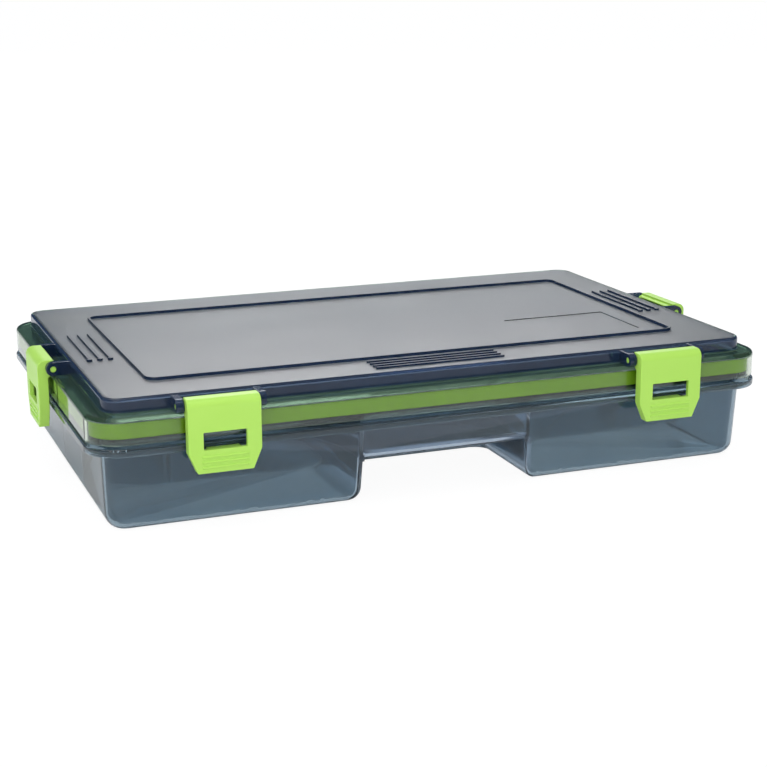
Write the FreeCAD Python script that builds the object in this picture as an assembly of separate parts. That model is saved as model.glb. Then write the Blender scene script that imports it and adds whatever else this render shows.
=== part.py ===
import FreeCAD, Part
import os

# Flat waterproof tackle box: a clear tray with fixed and loose partitions, a clear lid on a
# rear hinge, a rubber seal round the tray's rim and four snap latches carried by the lid.
# Millimetres. X runs left to right, the front faces -Y, Z is up.
# The origin is the middle of the box, on the surface it stands on.

# Overall sizes of the closed box, its height up to the flat of the lid
lid_length = 362.0
lid_depth = 225.4
box_height = 66.0
flange_corner = 17.0

# Lid: a raised plate on a flange whose skirt hangs down round the seal
lid_wall = 2.0
plate_inset = 8.4
plate_rise = 7.4
plate_round = 1.6
flange_thickness = 2.5
flange_round = 2.0
skirt_thickness = 2.0
skirt_drop = 13.3
lid_half_x = lid_length / 2
lid_half_y = lid_depth / 2
ledge_z = box_height - plate_rise
flange_under_z = ledge_z - flange_thickness
skirt_bottom_z = ledge_z - skirt_drop
plate_corner = flange_corner - plate_inset

# Tray: tapered walls, with a lip below the skirt and a seat for the seal
tray_wall = 2.0
tray_inset = 6.8
tray_draft = 1.8
tray_corner = 10.2
bottom_round = 8.0
foot_trim = 0.06
skirt_gap = 1.4
lip_reach = 0.8
lip_web = 2.0
lip_depth = 4.2
lip_edge = 2.2
lip_round = 1.1
seat_rise = 2.6
seat_thickness = 2.0
tray_half_x = lid_half_x - tray_inset
tray_half_y = lid_half_y - tray_inset
lip_top_z = skirt_bottom_z - skirt_gap
lip_bottom_z = lip_top_z - lip_depth
seat_z = skirt_bottom_z + seat_rise

# Grip recess under the middle of the front
recess_half_foot = 46.0
recess_taper = 1.5
recess_roof_z = 21.7
recess_depth = 61.5
recess_corner = 4.0
recess_front_round = 6.0
mouth_round = 3.0
recess_back_y = recess_depth - tray_half_y

# Rim seal: an outer leg that stands on the seat, and a web over the rim
seal_side_gap = 0.8
seal_top_gap = 0.3
seal_web = 1.8
seal_fit = 0.1
seal_round = 0.6
seal_top_z = flange_under_z - seal_top_gap
rim_top_z = seal_top_z - seal_web - seal_fit

# Partitions: the wall behind the front bins, two thinner walls behind it, slots for dividers
front_wall_thickness = 2.0
row_wall_thickness = 1.6
row_count = 3
partition_drop = 1.2
slot_count = 7
end_cell_length = 45.2
rib_width = 1.4
rib_depth = 2.0
divider_thickness = 1.5
divider_fit = 0.25
divider_drop = 1.5
divider_corner = 4.0
divider_notch_depth = 5.0
divider_notch_share = 0.5
divider_slots = {"front_row": (0, 2, 4, 6), "middle_row": (1, 2, 4, 5), "back_row": (0, 1, 3, 6)}
floor_mark_radius = 5.2
floor_mark_height = 0.5
floor_mark_inset_x = 27.2
floor_mark_inset_y = 24.5
floor_mark_x = tray_half_x - floor_mark_inset_x
floor_mark_y = floor_mark_inset_y - tray_half_y
slot_pitch = 2 * (tray_half_x - end_cell_length) / (slot_count - 1)

# Latches: one pair in front, one at each end, each on two stubs in ears of the lid
latch_front_inset = 61.8
latch_half_width = 17.8
latch_reach = 7.4
latch_wall = 2.1
latch_drop = 36.0
latch_top_gap = 0.2
latch_top_round = 4.0
latch_edge_round = 1.0
latch_top_overhang = 0.5
latch_chamfer_rise = 9.8
latch_chamfer_in = 4.2
cheek_wall = 2.0
cheek_standoff = 2.1
cheek_shoulder_drop = 2.0
grip_height = 6.5
pivot_rise = 3.2
moving_gap = 0.3
stub_radius = 1.6
stub_fit = 0.06
ear_radius = 3.6
ear_thickness = 3.8
hook_half_width = 8.0
hook_height = 4.2
hook_nose = 1.6
hook_drop = 0.8
window_half_width = 10.6
window_height = 8.6
window_sill = 0.2
ridge_count = 3
ridge_pitch = 2.6
ridge_width = 1.2
ridge_height = 0.5
ridge_half_width = 11.4
ridge_first_rise = 2.2
latch_front_x = lid_half_x - latch_front_inset
latch_foot_z = box_height - latch_drop
pivot_z = ledge_z + pivot_rise
latch_top_z = box_height - latch_top_gap
hook_top_z = lip_top_z - lip_web - hook_drop

# Hinge: two sets of knuckles behind the box, each with its own pin
hinge_inset = 98.0
knuckle_radius = 3.3
tray_knuckle_width = 12.0
lid_knuckle_width = 6.0
knuckle_gap = 0.4
bracket_drop = 12.0
lid_arm_height = 6.5
hinge_rise = 0.5
pin_radius = 1.5
pin_fit = 0.06
pin_end_inset = 0.5
hinge_x = lid_half_x - hinge_inset
hinge_y = lid_half_y + latch_reach + ridge_height - knuckle_radius
hinge_z = lip_top_z + hinge_rise

# Marks that stand up from the lid's top: a stacking rim, short ribs near the ends and a thumb pad
rim_margin_x = 25.6
rim_front_margin = 26.2
rim_rear_margin = 33.7
rim_corner = 6.0
rim_width = 1.5
rim_rise = 1.6
end_rib_start = 7.5
end_rib_pitch = 5.35
end_rib_count = 3
end_rib_half_length = 28.4
end_rib_width = 1.6
end_rib_rise = 1.2
end_dot_radius = 1.4
pad_half_x = 35.0
pad_margin = 6.9
pad_pitch = 4.45
pad_rib_count = 4
pad_rib_width = 1.3
pad_rib_rise = 1.0
rim_half_x = lid_half_x - plate_inset - rim_margin_x
rim_front_y = plate_inset + rim_front_margin - lid_half_y
rim_rear_y = lid_half_y - plate_inset - rim_rear_margin
end_rib_first_x = rim_half_x + end_rib_start
pad_front_y = plate_inset + pad_margin - lid_half_y

# Past the faces that a cut goes through
overrun = 1.0


def vec(x, y, z):
    return FreeCAD.Vector(x, y, z)


def block(x0, x1, y0, y1, z0, z1):
    """Box between two corners."""
    return Part.makeBox(x1 - x0, y1 - y0, z1 - z0, vec(x0, y0, z0))


def rounded_wire(half_x, half_y, radius, z):
    """Outline of a rectangle with round corners, centred on the Z axis."""
    arcs = []
    for sign_x, sign_y, start in ((1, 1, 0), (-1, 1, 90), (-1, -1, 180), (1, -1, 270)):
        centre = vec(sign_x * (half_x - radius), sign_y * (half_y - radius), z)
        arcs.append(Part.makeCircle(radius, centre, vec(0, 0, 1), start, start + 90))
    edges = []
    for arc, following in zip(arcs, arcs[1:] + arcs[:1]):
        edges.append(arc)
        edges.append(Part.makeLine(arc.lastVertex().Point, following.firstVertex().Point))
    return Part.Wire(edges)


def rounded_prism(half_x, half_y, radius, z0, z1):
    """Upright block with round corners."""
    face = Part.Face(rounded_wire(half_x, half_y, radius, z0))
    return face.extrude(vec(0, 0, z1 - z0))


def polygon_prism(points, direction):
    """Straight-sided outline pushed along a direction."""
    return Part.Face(Part.makePolygon(points + points[:1])).extrude(direction)


def edges_where(shape, test):
    """Edges whose two ends and middle all pass the test."""
    found = []
    for edge in shape.Edges:
        middle = edge.valueAt((edge.FirstParameter + edge.LastParameter) / 2)
        if all(test(p) for p in [v.Point for v in edge.Vertexes] + [middle]):
            found.append(edge)
    return found


def near(a, b):
    return abs(a - b) < tray_wall / 100


def tray_half(z, inset):
    """Half length, half depth and corner radius of the tapered wall at a height."""
    lean = tray_draft * max(0, 1 - z / lip_top_z) + inset
    return tray_half_x - lean, tray_half_y - lean, tray_corner - inset


def recess_half_width(z, inset):
    """Half width of the grip recess at a height."""
    return recess_half_foot - recess_taper * z / recess_roof_z + inset


def recess_block(inset):
    """Space of the grip recess, with round corners at its back, grown by the inset."""
    radius = recess_corner + inset
    back = recess_back_y + inset
    front = -lid_half_y - overrun
    wires = []
    for z in (-overrun, recess_roof_z + inset):
        half = recess_half_width(z, inset)
        right = Part.makeCircle(radius, vec(half - radius, back - radius, z), vec(0, 0, 1), 0, 90)
        left = Part.makeCircle(radius, vec(radius - half, back - radius, z), vec(0, 0, 1), 90, 180)
        corners = [vec(half, front, z), right.firstVertex().Point, right.lastVertex().Point,
                   left.firstVertex().Point, left.lastVertex().Point, vec(-half, front, z)]
        wires.append(Part.Wire([Part.makeLine(corners[0], corners[1]), right,
                                Part.makeLine(corners[2], corners[3]), left,
                                Part.makeLine(corners[4], corners[5]),
                                Part.makeLine(corners[5], corners[0])]))
    return Part.makeLoft(wires, True, True)


def brow_cutter(inset):
    """What is taken off to round the front edge over the grip recess."""
    radius = recess_front_round - inset
    roof_z = recess_roof_z + inset
    half = recess_half_width(roof_z, inset)
    centre_z = roof_z + radius
    centre_y = radius - tray_half(centre_z, inset)[1]
    corner = block(-half, half, centre_y - radius - overrun, centre_y, roof_z - overrun, centre_z)
    return corner.cut(Part.makeCylinder(radius, 2 * half, vec(-half, centre_y, centre_z), vec(1, 0, 0)))


def tray_form(inset, top_z):
    """Solid form of the tray: the outside with no inset, the room inside with a wall's inset.

    It is rounded a little too deep and then trimmed flat, so that the flat foot has a clean outline.
    """
    foot_z = inset - foot_trim
    sections = []
    for z in (foot_z, lip_top_z, top_z):
        sections.append(rounded_wire(*tray_half(z, inset), z))
    form = Part.makeLoft(sections, True, True).cut(recess_block(inset))
    below = block(-tray_half_x, tray_half_x, -tray_half_y, tray_half_y, inset - overrun, inset)

    def at_mouth(p):
        beside = abs(abs(p.x) - recess_half_width(p.z, inset)) < tray_wall / 10
        return beside and abs(p.y + tray_half(p.z, inset)[1]) < tray_wall / 10

    form = form.makeFillet(bottom_round - inset, edges_where(form, lambda p: near(p.z, foot_z)))
    mouth = [e for e in edges_where(form, at_mouth) if e.BoundBox.ZLength > bottom_round / 2]
    return form.makeFillet(mouth_round - inset / 2, mouth).cut([brow_cutter(inset), below])


def lip():
    """Turned-down edge below the lid's skirt, which the latch hooks reach under."""
    outer = rounded_prism(lid_half_x + lip_reach, lid_half_y + lip_reach,
                          flange_corner + lip_reach, lip_bottom_z, lip_top_z)
    rims = edges_where(outer, lambda p: near(p.z, lip_bottom_z) or near(p.z, lip_top_z))
    outer = outer.makeFillet(lip_round, rims)
    room = lip_reach - lip_edge
    under = rounded_prism(lid_half_x + room, lid_half_y + room, flange_corner + room,
                          lip_bottom_z - overrun, lip_top_z - lip_web)
    return outer.cut(under)


def seal_half():
    """Half length, half depth and corner radius of the seal's outer face."""
    inset = skirt_thickness + seal_side_gap
    return lid_half_x - inset, lid_half_y - inset, flange_corner - inset


def row_places():
    """Front and back faces of the partition rows behind the grip recess, at mid depth."""
    back_y = tray_half_y - tray_wall
    start = recess_back_y + front_wall_thickness
    depth = (back_y - start - (row_count - 1) * row_wall_thickness) / row_count
    rows = []
    for row in range(row_count):
        front = start + row * (depth + row_wall_thickness)
        rows.append((front, front + depth))
    return rows


def slot_x(index):
    """Place of a divider slot along a row."""
    return (index - (slot_count - 1) / 2) * slot_pitch


def partition_top_z():
    return rim_top_z - partition_drop


def rear_lean():
    """How much further forward the rear wall stands at the floor than at the rim."""
    return tray_draft * (1 - tray_wall / lip_top_z)


def partitions():
    """Fixed walls along and across the tray, and the pairs of ribs that hold the dividers."""
    top = partition_top_z()
    reach = tray_half_x
    solids = [block(-reach, reach, recess_back_y, recess_back_y + front_wall_thickness, 0, top)]
    beside = recess_half_width(recess_roof_z, 0)
    for x0 in (beside, -beside - tray_wall):
        solids.append(block(x0, x0 + tray_wall, -tray_half_y, recess_back_y + overrun,
                            recess_roof_z, top))
    rows = row_places()
    for front, back in rows[:-1]:
        solids.append(block(-reach, reach, back, back + row_wall_thickness, 0, top))
    half_gap = divider_thickness / 2 + divider_fit
    for row, (front, back) in enumerate(rows):
        last = row == row_count - 1
        rear = back - rib_depth - (rear_lean() if last else 0)
        faces = [(front - overrun, front + rib_depth), (rear, back + overrun)]
        for index in range(slot_count):
            for side in (-1, 1):
                near_x = slot_x(index) + side * half_gap
                far_x = near_x + side * rib_width
                for y0, y1 in faces:
                    solids.append(block(min(near_x, far_x), max(near_x, far_x), y0, y1, 0, top))
    return solids


def tray_knuckles():
    """Middle knuckle of each hinge, on a bracket below the lip."""
    made = []
    for side in (-1, 1):
        x0 = side * hinge_x - tray_knuckle_width / 2
        width = vec(tray_knuckle_width, 0, 0)
        foot_z = lip_top_z - bracket_drop
        wall_y = tray_half(foot_z, 0)[1]
        points = [vec(x0, wall_y - tray_wall / 2, foot_z), vec(x0, wall_y + lip_edge / 2, foot_z),
                  vec(x0, hinge_y, hinge_z - knuckle_radius), vec(x0, hinge_y, lip_top_z),
                  vec(x0, wall_y - tray_wall / 2, lip_top_z)]
        barrel = Part.makeCylinder(knuckle_radius, tray_knuckle_width,
                                   vec(x0, hinge_y, hinge_z), vec(1, 0, 0))
        made.append(polygon_prism(points, width).fuse(barrel))
    return made


def hinge_bore():
    """Straight hole through both hinges, for the pins."""
    return Part.makeCylinder(pin_radius + pin_fit, lid_length, vec(-lid_half_x, hinge_y, hinge_z),
                             vec(1, 0, 0))


def base_tray():
    outside = tray_form(0, rim_top_z)
    room = tray_form(tray_wall, rim_top_z + overrun)
    half_x, half_y, radius = seal_half()
    seat = rounded_prism(half_x, half_y, radius, seat_z - seat_thickness, seat_z)
    shell = outside.fuse([lip(), seat] + tray_knuckles()).cut(room)
    inner = partitions()
    inner = inner[0].fuse(inner[1:]).common(outside)
    marks = []
    for side in (-1, 1):
        marks.append(Part.makeCylinder(floor_mark_radius, tray_wall / 2 + floor_mark_height,
                                       vec(side * floor_mark_x, floor_mark_y, tray_wall / 2)))
    return shell.fuse([inner] + marks).cut(hinge_bore()).removeSplitter()


def rim_seal():
    """Rubber ring: its leg stands on the seat and its web lies over the rim."""
    half_x, half_y, radius = seal_half()
    ring = rounded_prism(half_x, half_y, radius, seat_z, seal_top_z)
    edge = edges_where(ring, lambda p: near(p.z, seal_top_z))
    ring = ring.makeFillet(seal_round, edge)
    rim = rounded_prism(tray_half_x + seal_fit, tray_half_y + seal_fit, tray_corner + seal_fit,
                        seat_z - overrun, seal_top_z - seal_web)
    mouth = rounded_prism(tray_half_x - tray_wall, tray_half_y - tray_wall,
                          tray_corner - tray_wall, seat_z, seal_top_z + overrun)
    return ring.cut(rim).cut(mouth)


def divider(row, index):
    """Loose cross plate in a pair of slots, with a thumb notch in its top edge."""
    front, back = row_places()[row]
    last = row == row_count - 1
    y0 = front + divider_fit
    y1_top = back - divider_fit
    y1_foot = y1_top - (rear_lean() if last else 0)
    front_cut = divider_corner / 2 if row else bottom_round
    rear_cut = bottom_round if last else divider_corner / 2
    z0 = tray_wall
    z1 = partition_top_z() - divider_drop
    x0 = slot_x(index) - divider_thickness / 2
    middle = (y0 + y1_top) / 2
    notch = (y1_top - y0) * divider_notch_share / 2
    step = divider_notch_depth
    points = [vec(x0, y0 + front_cut, z0), vec(x0, y1_foot - rear_cut, z0),
              vec(x0, y1_foot, z0 + rear_cut), vec(x0, y1_top, z1 - divider_corner),
              vec(x0, y1_top - divider_corner, z1), vec(x0, middle + notch, z1),
              vec(x0, middle + notch - step, z1 - step), vec(x0, middle - notch + step, z1 - step),
              vec(x0, middle - notch, z1), vec(x0, y0 + divider_corner, z1),
              vec(x0, y0, z1 - divider_corner), vec(x0, y0, z0 + front_cut)]
    plate = polygon_prism(points, vec(divider_thickness, 0, 0))
    corners = edges_where(plate, lambda p: p.z > z1 - divider_corner - overrun)
    corners = [e for e in corners if near(e.BoundBox.XLength, divider_thickness)]
    return plate.makeFillet(divider_corner / 3, corners)


def ears():
    """Pairs of D-shaped ears for one latch, in the latch's own place."""
    root = plate_inset + lid_wall / 2
    made = []
    for side in (-1, 1):
        inner = side * (latch_half_width + moving_gap)
        start = min(inner, inner + side * ear_thickness)
        disc = Part.makeCylinder(ear_radius, ear_thickness, vec(start, 0, pivot_z), vec(1, 0, 0))
        back = block(start, start + ear_thickness, 0, root, ledge_z - lid_wall / 2,
                     pivot_z + ear_radius)
        hole = Part.makeCylinder(stub_radius + stub_fit, ear_thickness + 2 * overrun,
                                 vec(start - overrun, 0, pivot_z), vec(1, 0, 0))
        made.append((disc.fuse(back), hole))
    return made


def latch_places():
    """Name, place and turn of each latch round the lid."""
    return (("latch_front_left", vec(-latch_front_x, -lid_half_y, 0), 0),
            ("latch_front_right", vec(latch_front_x, -lid_half_y, 0), 0),
            ("latch_side_left", vec(-lid_half_x, 0, 0), -90),
            ("latch_side_right", vec(lid_half_x, 0, 0), 90))


def placed(shape, place, turn):
    """Copy of a latch-side shape, turned to its side of the lid and moved there."""
    moved = shape.copy()
    moved.rotate(vec(0, 0, 0), vec(0, 0, 1), turn)
    moved.translate(place)
    return moved


def lid_knuckles():
    """Two knuckles of each hinge, on arms from the skirt."""
    made = []
    offset = tray_knuckle_width / 2 + knuckle_gap
    for side in (-1, 1):
        for end in (-1, 1):
            inner = side * hinge_x + end * offset
            x0 = min(inner, inner + end * lid_knuckle_width)
            root_y = lid_half_y - skirt_thickness / 2
            points = [vec(x0, root_y, skirt_bottom_z), vec(x0, root_y, skirt_bottom_z + lid_arm_height),
                      vec(x0, lid_half_y + overrun, skirt_bottom_z + lid_arm_height),
                      vec(x0, hinge_y, hinge_z + knuckle_radius), vec(x0, hinge_y, hinge_z),
                      vec(x0, hinge_y - knuckle_radius, hinge_z), vec(x0, lid_half_y, skirt_bottom_z)]
            barrel = Part.makeCylinder(knuckle_radius, lid_knuckle_width,
                                       vec(x0, hinge_y, hinge_z), vec(1, 0, 0))
            made.append(polygon_prism(points, vec(lid_knuckle_width, 0, 0)).fuse(barrel))
    return made


def stacking_rim():
    """Low rim with round corners that frames the lid's top."""
    z0 = box_height - lid_wall / 2
    z1 = box_height + rim_rise
    half_y = (rim_rear_y - rim_front_y) / 2
    outer = rounded_prism(rim_half_x, half_y, rim_corner, z0, z1)
    inner = rounded_prism(rim_half_x - rim_width, half_y - rim_width, rim_corner - rim_width,
                          z0 - overrun, z1 + overrun)
    rim = outer.cut(inner)
    rim.translate(vec(0, (rim_rear_y + rim_front_y) / 2, 0))
    return rim


def rib(start, end, width, rise):
    """Low rib with round ends between two places on the lid's top."""
    z0 = box_height - lid_wall / 2
    height = rise + lid_wall / 2
    ends = [Part.makeCylinder(width / 2, height, vec(x, y, z0)) for x, y in (start, end)]
    side_x = 0 if start[1] == end[1] else width / 2
    side_y = width / 2 - side_x
    bar = block(start[0] - side_x, end[0] + side_x, start[1] - side_y, end[1] + side_y,
                z0, z0 + height)
    return bar.fuse(ends)


def end_ribs():
    """Three short ribs beyond each end of the rim, each with a dot at its front end."""
    z0 = box_height - lid_wall / 2
    made = []
    for side in (-1, 1):
        for index in range(end_rib_count):
            x = side * (end_rib_first_x + index * end_rib_pitch)
            bar = rib((x, -end_rib_half_length), (x, end_rib_half_length), end_rib_width, end_rib_rise)
            dot = Part.makeCylinder(end_dot_radius, end_rib_rise + lid_wall / 2,
                                    vec(x, -end_rib_half_length, z0))
            made.append(bar.fuse(dot))
    return made


def pad_ribs():
    """Cross ribs of the thumb pad above the grip recess."""
    end = pad_half_x - pad_rib_width / 2
    first = pad_front_y + pad_rib_width / 2
    made = []
    for index in range(pad_rib_count):
        y = first + index * pad_pitch
        made.append(rib((-end, y), (end, y), pad_rib_width, pad_rib_rise))
    return made


def lid_shell():
    skirt = rounded_prism(lid_half_x, lid_half_y, flange_corner, skirt_bottom_z, ledge_z)
    skirt = skirt.makeFillet(flange_round, edges_where(skirt, lambda p: near(p.z, ledge_z)))
    plate = rounded_prism(lid_half_x - plate_inset, lid_half_y - plate_inset, plate_corner,
                          skirt_bottom_z, box_height)
    plate = plate.makeFillet(plate_round, edges_where(plate, lambda p: near(p.z, box_height)))
    room = skirt_thickness
    under = rounded_prism(lid_half_x - room, lid_half_y - room, flange_corner - room,
                          skirt_bottom_z - overrun, flange_under_z)
    inset = plate_inset + lid_wall
    hollow = rounded_prism(lid_half_x - inset, lid_half_y - inset, flange_corner - inset,
                           skirt_bottom_z, box_height - lid_wall)
    shell = skirt.fuse(plate).cut(under.fuse(hollow))
    added = lid_knuckles() + [stacking_rim()] + end_ribs() + pad_ribs()
    holes = [hinge_bore()]
    for name, place, turn in latch_places():
        for ear, hole in ears():
            added.append(placed(ear, place, turn))
            holes.append(placed(hole, place, turn))
    return shell.fuse(added).cut(holes).removeSplitter()


def latch_outline():
    """Side outline of a latch, pushed across its width, with its outer edges rounded."""
    out = -latch_reach
    shoulder_z = ledge_z - cheek_shoulder_drop
    left = -latch_half_width
    points = [vec(left, -cheek_standoff, latch_foot_z), vec(left, out, latch_foot_z),
              vec(left, out, latch_top_z), vec(left, latch_top_overhang, latch_top_z),
              vec(left, latch_top_overhang, pivot_z), vec(left, -moving_gap, ledge_z + moving_gap),
              vec(left, -cheek_standoff, shoulder_z)]
    body = polygon_prism(points, vec(2 * latch_half_width, 0, 0))
    brow = edges_where(body, lambda p: near(p.y, out) and near(p.z, latch_top_z))
    body = body.makeFillet(latch_top_round, brow)

    def on_rim(edge):
        box = edge.BoundBox
        upright = near(box.YMin, out) and box.ZLength > grip_height
        top = near(box.ZMax, latch_top_z) and box.YMin < 0
        return near(abs(box.Center.x), latch_half_width) and (upright or top)

    return body.makeFillet(latch_edge_round, [e for e in body.Edges if on_rim(e)])


def latch():
    """One-piece latch: cheeks on two stubs, a face with a window, a hook and a ribbed foot."""
    cheek_radius = pivot_rise - moving_gap
    left = -latch_half_width
    width = 2 * latch_half_width
    body = latch_outline()
    body = body.fuse(Part.makeCylinder(cheek_radius, width, vec(left, 0, pivot_z), vec(1, 0, 0)))
    slope = latch_chamfer_rise
    side = latch_chamfer_in
    right = latch_half_width
    outline = [vec(left, 0, latch_foot_z + slope), vec(left + side, 0, latch_foot_z),
               vec(right - side, 0, latch_foot_z), vec(right, 0, latch_foot_z + slope),
               vec(right, 0, box_height), vec(left, 0, box_height)]
    front = polygon_prism(outline, vec(0, -latch_reach - overrun, 0))
    behind = block(left, left + width, 0, cheek_radius + overrun, latch_foot_z, box_height)
    body = body.common(front.fuse(behind))
    room_half = latch_half_width - cheek_wall
    face_y = -latch_reach + latch_wall
    room = block(-room_half, room_half, face_y, cheek_radius + overrun,
                 latch_foot_z + grip_height, latch_top_z - latch_wall)
    room = room.makeFillet(latch_wall / 2, edges_where(
        room, lambda p: near(p.y, face_y) and near(p.z, latch_top_z - latch_wall)))
    body = body.cut(room)
    nose_y = -lip_reach - moving_gap
    root_y = face_y - latch_wall / 2
    root_z = latch_foot_z + grip_height - latch_wall / 2
    left_end = -hook_half_width
    hook = [vec(left_end, root_y, root_z), vec(left_end, root_y, hook_top_z),
            vec(left_end, nose_y, hook_top_z), vec(left_end, nose_y, hook_top_z - hook_nose),
            vec(left_end, -cheek_standoff, hook_top_z - hook_height),
            vec(left_end, -cheek_standoff, root_z)]
    body = body.fuse(polygon_prism(hook, vec(2 * hook_half_width, 0, 0)))
    sill_z = hook_top_z + window_sill
    body = body.cut(block(-window_half_width, window_half_width, -latch_reach - overrun,
                          face_y + overrun, sill_z, sill_z + window_height))
    added = []
    for index in range(ridge_count):
        z = latch_foot_z + ridge_first_rise + index * ridge_pitch
        added.append(block(-ridge_half_width, ridge_half_width, -latch_reach - ridge_height,
                           face_y, z, z + ridge_width))
    stub = latch_half_width + ear_thickness
    for side in (-1, 1):
        start = min(side * room_half, side * stub)
        added.append(Part.makeCylinder(stub_radius, stub - room_half, vec(start, 0, pivot_z),
                                       vec(1, 0, 0)))
    return body.fuse(added).removeSplitter()


def hinge_pin(side):
    length = tray_knuckle_width + 2 * (knuckle_gap + lid_knuckle_width - pin_end_inset)
    return Part.makeCylinder(pin_radius, length, vec(side * hinge_x - length / 2, hinge_y, hinge_z),
                             vec(1, 0, 0))


def build():
    """Every piece by its name."""
    parts = {"base_tray": base_tray(), "lid_shell": lid_shell(), "rim_seal": rim_seal()}
    shape = latch()
    for name, place, turn in latch_places():
        parts[name] = placed(shape, place, turn)
    parts["hinge_pin_left"] = hinge_pin(-1)
    parts["hinge_pin_right"] = hinge_pin(1)
    for row, (row_name, slots) in enumerate(divider_slots.items()):
        for number, index in enumerate(slots, 1):
            parts[f"divider_{row_name}_{number}"] = divider(row, index)
    return parts


def main():
    os.makedirs("parts", exist_ok=True)
    for name, shape in build().items():
        print(name, "solids", len(shape.Solids), "valid", shape.isValid(), "volume", round(shape.Volume))
        shape.exportStep(f"parts/{name}.step")


main()
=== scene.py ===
# %% [markdown]
# # A clear tackle box with green latches
#
# The real object is a flat box of smoky clear plastic: a tray with deep bins, a lid on a rear
# hinge, a green rubber seal between them and four green snap latches. The construction is
# finished already and comes in as a fixed frame. This lesson models the pieces again with finer
# edges and gives them their looks, and changes no size.

import math

import bmesh
import bpy
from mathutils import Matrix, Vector


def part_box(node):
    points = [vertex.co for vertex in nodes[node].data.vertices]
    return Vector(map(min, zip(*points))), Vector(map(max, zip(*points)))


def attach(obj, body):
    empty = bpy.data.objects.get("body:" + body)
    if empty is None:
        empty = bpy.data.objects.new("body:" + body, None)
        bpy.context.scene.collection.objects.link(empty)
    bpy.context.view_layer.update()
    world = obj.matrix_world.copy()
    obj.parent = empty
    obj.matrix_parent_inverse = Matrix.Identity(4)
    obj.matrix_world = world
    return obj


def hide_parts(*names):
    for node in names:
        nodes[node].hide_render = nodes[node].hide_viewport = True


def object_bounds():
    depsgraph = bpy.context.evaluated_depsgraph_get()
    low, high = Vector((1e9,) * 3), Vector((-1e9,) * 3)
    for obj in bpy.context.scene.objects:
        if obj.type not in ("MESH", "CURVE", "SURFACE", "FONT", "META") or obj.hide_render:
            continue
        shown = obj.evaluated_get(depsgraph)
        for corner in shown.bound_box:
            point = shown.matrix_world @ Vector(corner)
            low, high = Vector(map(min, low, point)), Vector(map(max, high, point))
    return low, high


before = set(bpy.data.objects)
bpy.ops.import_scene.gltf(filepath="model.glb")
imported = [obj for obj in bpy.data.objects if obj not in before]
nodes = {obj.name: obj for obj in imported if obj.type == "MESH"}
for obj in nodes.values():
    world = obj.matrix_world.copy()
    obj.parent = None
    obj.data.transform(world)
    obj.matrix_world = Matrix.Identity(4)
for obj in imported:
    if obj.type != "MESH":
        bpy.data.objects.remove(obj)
cad_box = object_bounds()
cad_size = [round(v, 4) for v in cad_box[1] - cad_box[0]]
print("pieces in the frame:", len(nodes), "size in metres:", cad_size)

# %% [markdown]
# ## Small helpers
#
# Sizes are easier to read in millimetres, so one value turns them into Blender's metres. The
# frame comes in with everything selected, and an operator acts on all that is selected, so a
# helper clears that first.

# %% Units and selection
MM = 0.001


def deselect_all():
    """Nothing is selected and nothing is active."""
    for item in bpy.context.selected_objects:
        item.select_set(False)
    bpy.context.view_layer.objects.active = None


def make_active(item):
    """Only this object is selected, and it is active."""
    deselect_all()
    item.select_set(True)
    bpy.context.view_layer.objects.active = item


deselect_all()
print("selected now:", len(bpy.context.selected_objects))

# %% [markdown]
# ## Camera
#
# The photo is taken from the front left, a little above the lid, with a long lens from nearly a
# metre away. The camera stands where the box's edges in the photo say that it stood.

# %% Camera at the photo's place
CAMERA_PLACE = Vector((-314.278, -828.452, 266.229)) * MM
CAMERA_YAW = math.radians(21.156)
CAMERA_PITCH = math.radians(14.847)
CAMERA_ROLL = math.radians(-0.166)
CAMERA_LENS, SENSOR_WIDTH = 76.73, 36.0
CLIP_NEAR, CLIP_FAR = 0.01, 100.0

camera_data = bpy.data.cameras.new("camera")
camera_data.lens = CAMERA_LENS
camera_data.sensor_width = SENSOR_WIDTH
camera_data.clip_start, camera_data.clip_end = CLIP_NEAR, CLIP_FAR
camera = bpy.data.objects.new("camera", camera_data)
bpy.context.collection.objects.link(camera)
bpy.context.scene.camera = camera
forward = Vector((math.sin(CAMERA_YAW) * math.cos(CAMERA_PITCH),
                  math.cos(CAMERA_YAW) * math.cos(CAMERA_PITCH), -math.sin(CAMERA_PITCH)))
level_view = forward.to_track_quat("-Z", "Y")
roll = type(level_view)((0, 0, 1), CAMERA_ROLL)
camera.rotation_mode = "QUATERNION"
camera.rotation_quaternion = level_view @ roll
camera.location = CAMERA_PLACE
print("camera at", [round(v, 3) for v in camera.location], "lens", CAMERA_LENS)

# %% [markdown]
# ## Light
#
# A clear box shows what stands round it more than its own colour, so the room matters. The world
# is a plain pale dome. What the box mirrors is a dim room that gets lighter overhead, and a large
# soft lamp high behind the box, which the satin lid catches along its front. Two more lamps
# soften the front.

# %% World
bpy.context.scene.view_settings.view_transform = "Standard"
DOME_COLOUR, DOME_STRENGTH = (0.93, 0.96, 1.0), 0.62
BACKDROP_COLOUR, BACKDROP_STRENGTH = (1, 1, 1), 1.0
MIRROR_LOW, MIRROR_HIGH = (0.04, 0.07, 0.12), (0.40, 0.40, 0.40)
MIRROR_RISE = (math.sin(math.radians(14)), math.sin(math.radians(42)))


def camera_looks(tree):
    """A value that is 1 where the camera looks, straight or through clear plastic, and 0 elsewhere."""
    path = tree.nodes.new("ShaderNodeLightPath")
    either = tree.nodes.new("ShaderNodeMath")
    either.operation = "MAXIMUM"
    tree.links.new(path.outputs["Is Camera Ray"], either.inputs[0])
    tree.links.new(path.outputs["Is Transmission Ray"], either.inputs[1])
    return either.outputs[0]


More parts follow.
